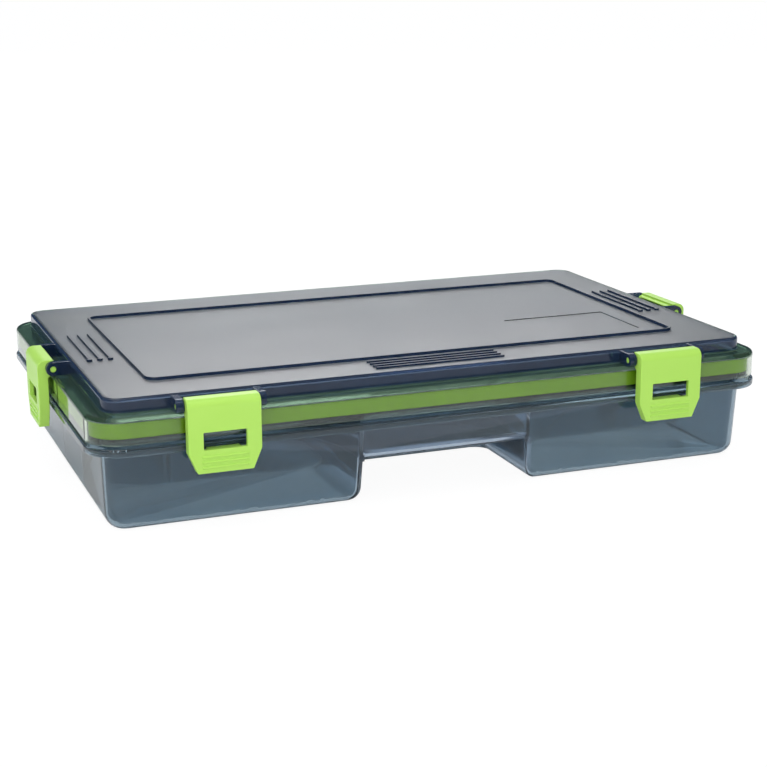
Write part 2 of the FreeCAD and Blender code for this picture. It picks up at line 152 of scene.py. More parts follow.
world = bpy.data.worlds.new("studio")
bpy.context.scene.world = world
world.use_nodes = True
tree = world.node_tree
tree.nodes.clear()
output = tree.nodes.new("ShaderNodeOutputWorld")
path = tree.nodes.new("ShaderNodeLightPath")
dome = tree.nodes.new("ShaderNodeBackground")
dome.inputs["Color"].default_value = (*DOME_COLOUR, 1)
dome.inputs["Strength"].default_value = DOME_STRENGTH
mirrored = tree.nodes.new("ShaderNodeBackground")
where = tree.nodes.new("ShaderNodeTexCoord")
axes = tree.nodes.new("ShaderNodeSeparateXYZ")
rise = tree.nodes.new("ShaderNodeMapRange")
rise.interpolation_type = "SMOOTHSTEP"
rise.inputs["From Min"].default_value, rise.inputs["From Max"].default_value = MIRROR_RISE
room = tree.nodes.new("ShaderNodeMix")
room.data_type = "RGBA"
room.inputs["A"].default_value = (*MIRROR_LOW, 1)
room.inputs["B"].default_value = (*MIRROR_HIGH, 1)
backdrop = tree.nodes.new("ShaderNodeBackground")
backdrop.inputs["Color"].default_value = (*BACKDROP_COLOUR, 1)
backdrop.inputs["Strength"].default_value = BACKDROP_STRENGTH
mix_mirror = tree.nodes.new("ShaderNodeMixShader")
mix_seen = tree.nodes.new("ShaderNodeMixShader")
link = tree.links.new
link(where.outputs["Generated"], axes.inputs[0])
link(axes.outputs["Z"], rise.inputs["Value"])
link(rise.outputs["Result"], room.inputs["Factor"])
link(room.outputs["Result"], mirrored.inputs["Color"])
link(path.outputs["Is Glossy Ray"], mix_mirror.inputs[0])
link(dome.outputs[0], mix_mirror.inputs[1])
link(mirrored.outputs[0], mix_mirror.inputs[2])
link(camera_looks(tree), mix_seen.inputs[0])
link(mix_mirror.outputs[0], mix_seen.inputs[1])
link(backdrop.outputs[0], mix_seen.inputs[2])
link(mix_seen.outputs[0], output.inputs[0])
print("world shaders:", len(tree.nodes))

# %% Lamps
WHITE, WARM_WHITE = (1, 1, 1), (1, 0.985, 0.985)


def lamp(name, place, size, power, colour):
    """A soft rectangular lamp in watts at a place in metres, which looks at the box."""
    data = bpy.data.lights.new(name, "AREA")
    data.shape = "RECTANGLE"
    data.size, data.size_y = size
    data.energy = power
    data.color = colour
    item = bpy.data.objects.new(name, data)
    bpy.context.collection.objects.link(item)
    item.location = place
    item.rotation_mode = "QUATERNION"
    item.rotation_quaternion = (-Vector(place)).to_track_quat("-Z", "Y")
    item.visible_camera = False


lamp("lamp_above", (-0.5, -0.4, 1.6), (1.6, 1.2), 12, WHITE)
lamp("lamp_front", (-0.9, -1.6, 0.7), (1.2, 0.9), 8, WHITE)
lamp("lamp_behind", (1.0, 2.6, 1.6), (1.5, 0.9), 26, WARM_WHITE)
print("lamps:", len(bpy.data.lights))

# %% [markdown]
# ## Floor
#
# The box stands on a plain white floor. It is white where the camera looks, straight or through
# the clear plastic, and it still takes a soft shadow from the box.

# %% Floor
FLOOR_SIZE = 30.0
FLOOR_COLOUR = (0.92, 0.92, 0.92)
FLOOR_GLOW_COLOUR, FLOOR_GLOW, FLOOR_GLOW_SHARE = (1, 1, 1), 1.05, 0.9

bpy.ops.mesh.primitive_plane_add(size=FLOOR_SIZE, location=(0, 0, 0))
floor = bpy.context.active_object
floor.name = "floor"
material = bpy.data.materials.new("floor")
material.use_nodes = True
tree = material.node_tree
tree.nodes.clear()
link = tree.links.new
output = tree.nodes.new("ShaderNodeOutputMaterial")
matt = tree.nodes.new("ShaderNodeBsdfDiffuse")
matt.inputs["Color"].default_value = (*FLOOR_COLOUR, 1)
glow = tree.nodes.new("ShaderNodeEmission")
glow.inputs["Color"].default_value = (*FLOOR_GLOW_COLOUR, 1)
glow.inputs["Strength"].default_value = FLOOR_GLOW
share = tree.nodes.new("ShaderNodeMath")
share.operation = "MULTIPLY"
share.inputs[1].default_value = FLOOR_GLOW_SHARE
mix = tree.nodes.new("ShaderNodeMixShader")
link(camera_looks(tree), share.inputs[0])
link(share.outputs[0], mix.inputs[0])
link(matt.outputs[0], mix.inputs[1])
link(glow.outputs[0], mix.inputs[2])
link(mix.outputs[0], output.inputs[0])
floor.data.materials.append(material)
print("floor size in metres:", FLOOR_SIZE)

# %% [markdown]
# ## Tools for modelling
#
# Every piece starts as a plain primitive at its size and is then shaped in edit mode, as by hand.
# Faces and edges are picked by their place, because there is no mouse here. The places are in
# millimetres.

# %% Pick parts of a mesh in edit mode
CLOSE_MM = 0.02
STRAIGHT = 0.99
BENT, CRISP = math.radians(25), math.radians(60)


def pick(kind, test):
    """Select only the vertices, edges or faces that pass a test, and return how many there are."""
    item = bpy.context.active_object
    bpy.ops.mesh.select_mode(type=kind)
    bpy.ops.mesh.select_all(action="DESELECT")
    form = bmesh.from_edit_mesh(item.data)
    parts = {"VERT": form.verts, "EDGE": form.edges, "FACE": form.faces}[kind]
    chosen = [part for part in parts if test(part)]
    for part in chosen:
        part.select_set(True)
    form.select_flush_mode()
    bmesh.update_edit_mesh(item.data)
    return len(chosen)


def at(value, place):
    """Whether a coordinate in metres is at a place in millimetres."""
    return abs(value / MM - place) < CLOSE_MM


def flat_face(z, way):
    """Test for a level face at a height that looks up (1) or down (-1)."""
    return lambda face: at(face.calc_center_median().z, z) and face.normal.z * way > STRAIGHT


def edges_at(z, also=lambda point: True):
    """Test for an edge whose two ends are at a height and pass a second test."""
    return lambda edge: all(at(v.co.z, z) and also(v.co / MM) for v in edge.verts)


def runs_along(edge, axis):
    """Whether an edge's ends are more than a millimetre apart along an axis: 0, 1 or 2 for X, Y or Z."""
    return abs(edge.verts[0].co[axis] - edge.verts[1].co[axis]) > 1 * MM


def crisp_edges_at(z):
    """Test for a sharp edge whose two ends are at a height."""
    return lambda edge: edges_at(z)(edge) and edge.calc_face_angle() > CRISP


print("ways to pick: vertices, edges, faces")

# %% Shape parts of a mesh in edit mode


def start_block(name, low, high):
    """A block between two corners, left in edit mode."""
    deselect_all()
    bpy.ops.mesh.primitive_cube_add(size=1, location=(0, 0, 0))
    item = bpy.context.active_object
    item.name = name
    bpy.ops.object.mode_set(mode="EDIT")
    bpy.ops.transform.resize(value=[(b - a) * MM for a, b in zip(low, high)])
    bpy.ops.transform.translate(value=[(a + b) / 2 * MM for a, b in zip(low, high)])
    return item


def start_plate(name, half_x, half_y, corner, steps, z):
    """A flat plate with round corners at a height, left in edit mode with its face selected."""
    deselect_all()
    bpy.ops.mesh.primitive_plane_add(size=2, location=(0, 0, 0))
    item = bpy.context.active_object
    item.name = name
    bpy.ops.object.mode_set(mode="EDIT")
    bpy.ops.transform.resize(value=(half_x * MM, half_y * MM, 1))
    bpy.ops.transform.translate(value=(0, 0, z * MM))
    bpy.ops.mesh.bevel(offset=corner * MM, segments=steps, affect="VERTICES")
    bpy.ops.mesh.select_all(action="SELECT")
    return item


def raise_faces(rise):
    """Extrude the selected faces straight up, or down with a negative rise."""
    bpy.ops.mesh.extrude_region_move(TRANSFORM_OT_translate={"value": (0, 0, rise * MM)})


def step_in(width):
    """Draw the selected face's outline again, further in by a width."""
    bpy.ops.mesh.inset(thickness=width * MM)


def shift(x, y, z):
    """Move what is selected."""
    bpy.ops.transform.translate(value=(x * MM, y * MM, z * MM))


def soften(radius, steps):
    """Round the selected edges."""
    bpy.ops.mesh.bevel(offset=radius * MM, segments=steps, affect="EDGES", clamp_overlap=True)


def slice_at(point, normal, drop=False):
    """Cut the whole mesh with a plane, and drop what is in front of the plane or keep both sides."""
    bpy.ops.mesh.select_all(action="SELECT")
    bpy.ops.mesh.bisect(plane_co=[v * MM for v in point], plane_no=Vector(normal).normalized(),
                        use_fill=drop, clear_outer=drop)


def face_outward():
    """Turn every face of a closed mesh outward."""
    bpy.ops.mesh.select_all(action="SELECT")
    bpy.ops.mesh.normals_make_consistent(inside=False)


def leave_edit():
    """Back to object mode."""
    bpy.ops.object.mode_set(mode="OBJECT")


print("ways to shape: extrude, inset, move, bevel, slice")

# %% Join, cut and finish whole objects


def boolean(item, other, way):
    """Cut with or join to another closed object, which is used up, and clear doubled faces."""
    make_active(item)
    modifier = item.modifiers.new("boolean", "BOOLEAN")
    modifier.operation = way
    modifier.solver = "EXACT"
    modifier.object = other
    bpy.ops.object.modifier_apply(modifier=modifier.name)
    bpy.data.objects.remove(other)
    item.data.validate()
    return item


def soften_rims(item, width):
    """A narrow bevel on every sharp edge of a whole object."""
    make_active(item)
    bevel = item.modifiers.new("soft_rims", "BEVEL")
    bevel.width = width * MM
    bevel.segments = 2
    bevel.limit_method = "ANGLE"
    bevel.angle_limit = math.radians(50)
    bpy.ops.object.modifier_apply(modifier=bevel.name)


def gather(items, name):
    """One object made of several that don't touch."""
    deselect_all()
    for item in items:
        item.select_set(True)
    bpy.context.view_layer.objects.active = items[0]
    if len(items) > 1:
        bpy.ops.object.join()
    whole = bpy.context.active_object
    whole.name = name
    return whole


def rod(name, radius, start, length, steps=32):
    """A round bar along X from a start point, left in edit mode."""
    deselect_all()
    bpy.ops.mesh.primitive_cylinder_add(vertices=steps, radius=radius * MM, depth=length * MM)
    item = bpy.context.active_object
    item.name = name
    bpy.ops.object.mode_set(mode="EDIT")
    bpy.ops.transform.rotate(value=math.radians(90), orient_axis="Y", center_override=(0, 0, 0))
    shift(start[0] + length / 2, start[1], start[2])
    return item


def turned_copy(item, name, place, turn):
    """A copy with its own mesh, turned about the Z axis and moved, with both applied to the mesh."""
    copy = item.copy()
    copy.data = item.data.copy()
    copy.name = name
    bpy.context.collection.objects.link(copy)
    make_active(copy)
    copy.rotation_euler = (0, 0, math.radians(turn))
    copy.location = Vector(place) * MM
    bpy.ops.object.transform_apply(location=True, rotation=True, scale=True)
    return copy


SMOOTH_ANGLE = math.radians(32)
MERGE_MM = 0.001


def finish_surface(item):
    """Smooth curved faces and keep large flat ones flat, with crisp edges where faces meet sharply."""
    make_active(item)
    bpy.ops.object.mode_set(mode="EDIT")
    bpy.ops.mesh.select_all(action="SELECT")
    bpy.ops.mesh.remove_doubles(threshold=MERGE_MM * MM)
    leave_edit()
    bpy.ops.object.shade_smooth_by_angle(angle=SMOOTH_ANGLE)
    modifier = item.modifiers.new("weighted", "WEIGHTED_NORMAL")
    modifier.mode = "FACE_AREA"
    modifier.weight = 100
    modifier.keep_sharp = True
    bpy.ops.object.modifier_apply(modifier=modifier.name)


print("ways to finish: booleans, soft rims, joining, smoothing")

# %% [markdown]
# ## The lid
#
# On the real box the lid is one moulding: a flat plate that stands up from a flange, and a skirt
# that hangs round the seal. All its outlines are the same rounded rectangle, drawn further in or
# out. So the lid starts as one flat plate with round corners, and grows by extruding and
# insetting, first upward and then, from below, into the hollows. Bevels come last, because they
# need the final edges.

# %% Sizes of the lid
LID_HALF_X, LID_HALF_Y, LID_CORNER = 181.0, 112.7, 17.0
LID_TOP_Z, LEDGE_Z, FLANGE_UNDER_Z, SKIRT_FOOT_Z = 66.0, 58.6, 56.1, 45.3
PLATE_INSET, LID_WALL, SKIRT_WALL = 8.4, 2.0, 2.0
CORNER_STEPS = 14
OUTLINE_REACH = 0.3


def inset_of(point):
    """How far a point in millimetres lies inside the lid's outline, seen from above."""
    over_x = abs(point[0]) - (LID_HALF_X - LID_CORNER)
    over_y = abs(point[1]) - (LID_HALF_Y - LID_CORNER)
    if over_x > 0 and over_y > 0:
        return LID_CORNER - math.hypot(over_x, over_y)
    return LID_CORNER - max(over_x, over_y)


def on_outline(inset):
    """Test for points on the outline that lies further in by an inset."""
    return lambda point: abs(inset_of(point) - inset) < OUTLINE_REACH


print("lid from above:", 2 * LID_HALF_X, "by", 2 * LID_HALF_Y, "mm")

# %% Plate, flange and skirt
lid = start_plate("lid_look", LID_HALF_X, LID_HALF_Y, LID_CORNER, CORNER_STEPS, SKIRT_FOOT_Z)
raise_faces(LEDGE_Z - SKIRT_FOOT_Z)
face_outward()
pick("FACE", flat_face(LEDGE_Z, 1))
step_in(PLATE_INSET)
raise_faces(LID_TOP_Z - LEDGE_Z)
pick("FACE", flat_face(SKIRT_FOOT_Z, -1))
step_in(SKIRT_WALL)
raise_faces(FLANGE_UNDER_Z - SKIRT_FOOT_Z)
step_in(PLATE_INSET + LID_WALL - SKIRT_WALL)
raise_faces(LID_TOP_Z - LID_WALL - FLANGE_UNDER_Z)
print("lid faces:", len(bmesh.from_edit_mesh(lid.data).faces))

# %% Round the lid's edges, each given by height, inset, radius and steps
LID_ROUNDS = ((LEDGE_Z, 0, 2.0, 5), (LID_TOP_Z, PLATE_INSET, 1.6, 4), (LEDGE_Z, PLATE_INSET, 0.8, 3),
              (SKIRT_FOOT_Z, 0, 0.5, 2), (SKIRT_FOOT_Z, SKIRT_WALL, 0.4, 2),
              (FLANGE_UNDER_Z, SKIRT_WALL, 0.8, 3), (FLANGE_UNDER_Z, PLATE_INSET + LID_WALL, 0.5, 2),
              (LID_TOP_Z - LID_WALL, PLATE_INSET + LID_WALL, 1.0, 3))
for height, inset, radius, steps in LID_ROUNDS:
    count = pick("EDGE", edges_at(height, on_outline(inset)))
    soften(radius, steps)
    print("rounded", count, "edges at", height, "mm")
leave_edit()

# %% [markdown]
# The latches swing on stubs in pairs of ears, and the hinge has knuckles on short arms. An ear
# has a round nose and runs back into the plate. One ear is modelled from a block and copied to
# its eight places.

# %% Ears for the latches
PIVOT_Z = 61.8
EAR_RADIUS, EAR_THICK, EAR_ROOT, EAR_SOFT = 3.6, 3.8, 1.0, 0.3
LATCH_HALF_WIDTH, MOVING_GAP = 17.8, 0.3
LATCH_FRONT_X = 119.2
LATCH_PLACES = (("latch_front_left", (-LATCH_FRONT_X, -LID_HALF_Y, 0), 0),
                ("latch_front_right", (LATCH_FRONT_X, -LID_HALF_Y, 0), 0),
                ("latch_side_left", (-LID_HALF_X, 0, 0), -90),
                ("latch_side_right", (LID_HALF_X, 0, 0), 90))

ear = start_block("ear", (0, -EAR_RADIUS, PIVOT_Z - EAR_RADIUS),
                  (EAR_THICK, PLATE_INSET + EAR_ROOT, PIVOT_Z + EAR_RADIUS))
pick("EDGE", lambda edge: all(at(v.co.y, -EAR_RADIUS) for v in edge.verts) and runs_along(edge, 0))
soften(EAR_RADIUS - CLOSE_MM, 10)
pick("EDGE", lambda edge: not runs_along(edge, 0) and edge.calc_face_angle() > CRISP
     and min(v.co.y for v in edge.verts) < PLATE_INSET * MM)
soften(EAR_SOFT, 2)
leave_edit()
ears = []
for name, place, turn in LATCH_PLACES:
    for side in (-1, 1):
        start = side * (LATCH_HALF_WIDTH + MOVING_GAP) - (EAR_THICK if side < 0 else 0)
        sideways = turned_copy(ear, "ear_copy", (start, 0, 0), 0)
        ears.append(turned_copy(sideways, "ear_copy", place, turn))
        bpy.data.objects.remove(sideways)
bpy.data.objects.remove(ear)
print("ears:", len(ears))

# %% Knuckles for the hinge
HINGE_X, HINGE_Y, HINGE_Z = 83.0, 117.3, 44.4
KNUCKLE_RADIUS = 3.3
TRAY_KNUCKLE_WIDTH, LID_KNUCKLE_WIDTH, KNUCKLE_GAP = 12.0, 6.0, 0.4
ARM_HEIGHT, ARM_ROOT = 6.5, 1.0
ARM_TOP_Z = SKIRT_FOOT_Z + ARM_HEIGHT
arms = []
for side in (-1, 1):
    for end in (-1, 1):
        inner = side * HINGE_X + end * (TRAY_KNUCKLE_WIDTH / 2 + KNUCKLE_GAP)
        x0 = min(inner, inner + end * LID_KNUCKLE_WIDTH)
        barrel = rod("knuckle", KNUCKLE_RADIUS, (x0, HINGE_Y, HINGE_Z), LID_KNUCKLE_WIDTH, 40)
        leave_edit()
        arm = start_block("arm", (x0, LID_HALF_Y - ARM_ROOT, SKIRT_FOOT_Z),
                          (x0 + LID_KNUCKLE_WIDTH, HINGE_Y, ARM_TOP_Z))
        pick("VERT", lambda v: at(v.co.y, HINGE_Y) and at(v.co.z, ARM_TOP_Z))
        shift(0, 0, HINGE_Z + KNUCKLE_RADIUS - ARM_TOP_Z)
        pick("VERT", lambda v: at(v.co.y, HINGE_Y) and at(v.co.z, SKIRT_FOOT_Z))
        shift(0, 0, HINGE_Z - SKIRT_FOOT_Z)
        leave_edit()
        arms.append(boolean(barrel, arm, "UNION"))
print("hinge arms:", len(arms))

# %% [markdown]
# The lid's top carries moulded marks: a low rim that a second box stacks in, three short ribs
# with a dot at each end of the box, four ribs where the thumbs press, and a plain field that lies
# a little lower. Each rib starts as a short upright round bar. It is drawn out to its length, and
# its top edge is rounded.

# %% Ribs, dots and the rim
RIM_HALF_X, RIM_FRONT_Y, RIM_REAR_Y, RIM_CORNER = 146.0, -78.1, 70.6, 6.0
RIM_WIDTH, RIM_RISE = 1.5, 1.6
END_FIRST_X, END_PITCH, END_COUNT, END_HALF, END_WIDTH, END_RISE = 153.0, 5.35, 3, 28.4, 1.6, 1.2
DOT_WIDTH, DOT_HALF, DOT_BELOW_RIB = 2.8, 0.01, 0.05
PAD_HALF_X, PAD_FRONT_Y, PAD_PITCH, PAD_COUNT, PAD_WIDTH, PAD_RISE = 35.0, -97.4, 4.45, 4, 1.3, 1.0
FIELD_LOW, FIELD_HIGH, FIELD_DEPTH, FIELD_CORNER = (70.5, -64.6), (131.7, -20.5), 0.45, 0.6
MARK_ROOT = 1.0
RIB_SIDES, RIB_SOFT, RIM_SOFT = 24, 0.3, 0.35


def rib(start, end, width, rise):
    """A low rib with round ends between two places on the lid's top, rooted in the lid."""
    ahead = Vector((end[0] - start[0], end[1] - start[1], 0))
    deselect_all()
    bpy.ops.mesh.primitive_cylinder_add(vertices=RIB_SIDES, radius=width / 2 * MM,
                                        depth=(rise + MARK_ROOT) * MM)
    item = bpy.context.active_object
    bpy.ops.object.mode_set(mode="EDIT")
    shift(0, 0, LID_TOP_Z + (rise - MARK_ROOT) / 2)
    slice_at((0, 0, 0), (1, 0, 0))
    for side in (-1, 1):
        pick("VERT", lambda v: v.co.x * side > MERGE_MM * MM)
        shift(side * ahead.length / 2, 0, 0)
    pick("EDGE", crisp_edges_at(LID_TOP_Z + rise))
    soften(RIB_SOFT, 3)
    leave_edit()
    item.rotation_euler = (0, 0, math.atan2(ahead.y, ahead.x))
    item.location = Vector(((start[0] + end[0]) / 2, (start[1] + end[1]) / 2, 0)) * MM
    make_active(item)
    bpy.ops.object.transform_apply(location=True, rotation=True, scale=True)
    return item


rim = start_plate("rim", RIM_HALF_X, (RIM_REAR_Y - RIM_FRONT_Y) / 2, RIM_CORNER, 8,
                  LID_TOP_Z - MARK_ROOT)
shift(0, (RIM_REAR_Y + RIM_FRONT_Y) / 2, 0)
raise_faces(RIM_RISE + MARK_ROOT)
face_outward()
for height, way in ((LID_TOP_Z + RIM_RISE, 1), (LID_TOP_Z - MARK_ROOT, -1)):
    pick("FACE", flat_face(height, way))
    step_in(RIM_WIDTH)
    bpy.ops.mesh.delete(type="FACE")
pick("EDGE", lambda edge: edge.is_boundary)
bpy.ops.mesh.bridge_edge_loops()
face_outward()
pick("EDGE", crisp_edges_at(LID_TOP_Z + RIM_RISE))
soften(RIM_SOFT, 3)
leave_edit()
bars, dots = [rim], []
for side in (-1, 1):
    for index in range(END_COUNT):
        x = side * (END_FIRST_X + index * END_PITCH)
        bars.append(rib((x, -END_HALF), (x, END_HALF), END_WIDTH, END_RISE))
        dots.append(rib((x - DOT_HALF, -END_HALF), (x + DOT_HALF, -END_HALF), DOT_WIDTH,
                        END_RISE - DOT_BELOW_RIB))
end = PAD_HALF_X - PAD_WIDTH / 2
for index in range(PAD_COUNT):
    y = PAD_FRONT_Y + PAD_WIDTH / 2 + index * PAD_PITCH
    bars.append(rib((-end, y), (end, y), PAD_WIDTH, PAD_RISE))
print("ribs:", len(bars), "dots:", len(dots))

# %% Press the plain field in and join the small parts to the lid
field = start_block("field", (*FIELD_LOW, LID_TOP_Z - FIELD_DEPTH), (*FIELD_HIGH, LID_TOP_Z + 0.5))
pick("EDGE", lambda edge: abs(edge.verts[0].co.z - edge.verts[1].co.z) > FIELD_DEPTH * MM)
soften(FIELD_CORNER, 3)
leave_edit()
boolean(lid, field, "DIFFERENCE")
boolean(lid, gather(bars, "bars"), "UNION")
boolean(lid, gather(dots, "dots"), "UNION")
boolean(lid, gather(ears, "ears"), "UNION")
boolean(lid, gather(arms, "arms"), "UNION")
print("lid faces with its ribs, ears and arms:", len(lid.data.polygons))

# %% Holes for the stubs and the pins
STUB_RADIUS, STUB_FIT = 1.6, 0.06
PIN_RADIUS, PIN_FIT = 1.5, 0.06
holes = []
reach = LATCH_HALF_WIDTH + 2 * EAR_THICK
for name, place, turn in LATCH_PLACES:
    hole = rod("hole", STUB_RADIUS + STUB_FIT, (-reach, 0, PIVOT_Z), 2 * reach)
    leave_edit()
    holes.append(turned_copy(hole, "stub_hole", place, turn))
    bpy.data.objects.remove(hole)
reach = TRAY_KNUCKLE_WIDTH
for side in (-1, 1):
    start = (side * HINGE_X - reach, HINGE_Y, HINGE_Z)
    holes.append(rod("pin_hole", PIN_RADIUS + PIN_FIT, start, 2 * reach))
    leave_edit()
boolean(lid, gather(holes, "holes"), "DIFFERENCE")
finish_surface(lid)
print("finished lid:", len(lid.data.polygons), "faces")

# %% [markdown]
# ## The seal
#
# A green rubber ring lies over the tray's rim: a web across the top and an outer leg that stands
# on a seat. It is made as a solid plate first. The groove for the rim is drawn from below, and
# the ring's middle is opened by bridging the two inner outlines.

# %% Seal ring
SEAL_SIDE, SEAT_Z, SEAL_TOP_Z, SEAL_WEB, SEAL_SOFT = 2.8, 47.9, 55.8, 1.8, 0.6
TRAY_INSET, SEAL_FIT, TRAY_WALL = 6.8, 0.1, 2.0
MIDDLE_AREA = 0.02
inner = TRAY_INSET + TRAY_WALL
seal = start_plate("rim_seal_look", LID_HALF_X - SEAL_SIDE, LID_HALF_Y - SEAL_SIDE,
                   LID_CORNER - SEAL_SIDE, CORNER_STEPS, SEAT_Z)
raise_faces(SEAL_TOP_Z - SEAT_Z)
face_outward()
pick("FACE", flat_face(SEAT_Z, -1))
step_in(TRAY_INSET - SEAL_FIT - SEAL_SIDE)
raise_faces(SEAL_TOP_Z - SEAL_WEB - SEAT_Z)
step_in(TRAY_WALL + SEAL_FIT)
pick("FACE", flat_face(SEAL_TOP_Z, 1))
step_in(inner - SEAL_SIDE)


def wide_level_face(face):
    """The large faces that close the ring's middle, by their area in square metres."""
    return abs(face.normal.z) > STRAIGHT and face.calc_area() > MIDDLE_AREA


print("middle faces:", pick("FACE", wide_level_face))
bpy.ops.mesh.delete(type="FACE")
pick("EDGE", lambda edge: edge.is_boundary)
bpy.ops.mesh.bridge_edge_loops()
face_outward()
for height, inset in ((SEAL_TOP_Z, SEAL_SIDE), (SEAL_TOP_Z, inner), (SEAT_Z, SEAL_SIDE)):
    pick("EDGE", edges_at(height, on_outline(inset)))
    soften(SEAL_SOFT, 3)
leave_edit()
finish_surface(seal)
print("seal faces:", len(seal.data.polygons))

# %% [markdown]
# ## The latches
#
# A latch is one moulding: a face with a window, two cheeks that turn on stubs in the lid's ears,
# a hook behind the face and a ribbed foot to pull at. It starts as a block for the face. Its
# upper back grows inward, its lower corners are sliced off, and its edges are rounded before
# anything is cut. It is modelled once in the middle and copied to its four places.

# %% Body of a latch
LATCH_OUT, LATCH_FOOT_Z, LATCH_TOP_Z, LATCH_WALL = -7.4, 30.0, 65.8, 2.1
CHEEK_BACK, CHEEK_WALL, CHEEK_END_Y = -2.1, 2.0, 0.5
CHAMFER_IN, CHAMFER_RISE = 4.2, 9.8
SHOULDER_Z = LEDGE_Z - 2.0
SHOULDER_BACK, SHOULDER_LIFT = -0.8, 2.3
GRIP_TOP_Z = LATCH_FOOT_Z + 6.5
latch = start_block("latch_form", (-LATCH_HALF_WIDTH, LATCH_OUT, LATCH_FOOT_Z),
                    (LATCH_HALF_WIDTH, CHEEK_BACK, LATCH_TOP_Z))
for height in (SHOULDER_Z, PIVOT_Z):
    slice_at((0, 0, height), (0, 0, 1))
pick("FACE", lambda face: face.normal.y > STRAIGHT and face.calc_center_median().z > SHOULDER_Z * MM)
cheek_depth = (CHEEK_END_Y - CHEEK_BACK) * MM
bpy.ops.mesh.extrude_region_move(TRANSFORM_OT_translate={"value": (0, cheek_depth, 0)})
pick("VERT", lambda v: at(v.co.y, CHEEK_END_Y) and at(v.co.z, SHOULDER_Z))
shift(0, SHOULDER_BACK, SHOULDER_LIFT)
for side in (-1, 1):
    slice_at((side * LATCH_HALF_WIDTH, 0, LATCH_FOOT_Z + CHAMFER_RISE),
             (side * CHAMFER_RISE, 0, -CHAMFER_IN), drop=True)
print("latch body faces:", len(bmesh.from_edit_mesh(latch.data).faces))

# %% Round the body's edges
LATCH_TOP_ROUND, LATCH_RIM_ROUND, LATCH_FOOT_ROUND = 4.0, 1.0, 0.6
round_foot = LATCH_TOP_Z - LATCH_TOP_ROUND - 0.5
pick("EDGE", lambda edge: edges_at(LATCH_TOP_Z)(edge) and all(at(v.co.y, LATCH_OUT) for v in edge.verts))
soften(LATCH_TOP_ROUND, 8)


def on_front_rim(edge):
    """Sharp edges between the face or the foot and the latch's sides."""
    first, second = [v.co / MM for v in edge.verts]
    beside = abs(edge.link_faces[0].normal.x) > 0.5 or abs(edge.link_faces[1].normal.x) > 0.5
    forward = max(first.y, second.y) < CHEEK_BACK or min(first.z, second.z) > round_foot
    return edge.calc_face_angle() > BENT and beside and forward


print("rim edges:", pick("EDGE", on_front_rim))
soften(LATCH_RIM_ROUND, 4)
pick("EDGE", edges_at(LATCH_FOOT_Z))
soften(LATCH_FOOT_ROUND, 3)
leave_edit()

# %% Hollow and hook
room_half = LATCH_HALF_WIDTH - CHEEK_WALL
face_back = LATCH_OUT + LATCH_WALL
cheeks = rod("cheeks", PIVOT_Z - LEDGE_Z - MOVING_GAP, (-LATCH_HALF_WIDTH, 0, PIVOT_Z),
             2 * LATCH_HALF_WIDTH, 40)
leave_edit()
boolean(latch, cheeks, "UNION")
ROOM_BACK_Y, ROOM_ROUND = 5.0, 1.0
room = start_block("room", (-room_half, face_back, GRIP_TOP_Z),
                   (room_half, ROOM_BACK_Y, LATCH_TOP_Z - LATCH_WALL))
pick("EDGE", lambda edge: all(at(v.co.y, face_back) for v in edge.verts))
soften(ROOM_ROUND, 3)
leave_edit()
boolean(latch, room, "DIFFERENCE")

HOOK_TOP_Z, HOOK_TIP_Y, HOOK_HALF_WIDTH, HOOK_ROOT, HOOK_SOFT = 41.1, -1.1, 8.0, 1.0, 0.35
HOOK_SLOPE, HOOK_TIP = 4.2, 1.6
hook = start_block("hook", (-HOOK_HALF_WIDTH, face_back - HOOK_ROOT, GRIP_TOP_Z - HOOK_ROOT),
                   (HOOK_HALF_WIDTH, HOOK_TIP_Y, HOOK_TOP_Z))
for height in (HOOK_TOP_Z - HOOK_SLOPE, HOOK_TOP_Z - HOOK_TIP):
    slice_at((0, 0, height), (0, 0, 1))
pick("VERT", lambda v: at(v.co.y, HOOK_TIP_Y) and v.co.z < (HOOK_TOP_Z - HOOK_SLOPE + CLOSE_MM) * MM)
shift(0, CHEEK_BACK - HOOK_TIP_Y, 0)
pick("EDGE", lambda edge: min(v.co.y for v in edge.verts) > face_back * MM
     and edge.calc_face_angle() > BENT)
soften(HOOK_SOFT, 2)
leave_edit()
boolean(latch, hook, "UNION")
print("latch faces with its hook:", len(latch.data.polygons))

# %% Window, ridges and stubs
SILL_Z, WINDOW_HALF_WIDTH, WINDOW_HEIGHT, WINDOW_ROUND = 41.3, 10.6, 8.6, 0.5
PAST_FRONT, PAST_BACK = 1.0, 0.4
window = start_block("window", (-WINDOW_HALF_WIDTH, LATCH_OUT - PAST_FRONT, SILL_Z),
                     (WINDOW_HALF_WIDTH, face_back + PAST_BACK, SILL_Z + WINDOW_HEIGHT))
pick("EDGE", lambda edge: runs_along(edge, 1))
soften(WINDOW_ROUND, 3)
leave_edit()
boolean(latch, window, "DIFFERENCE")

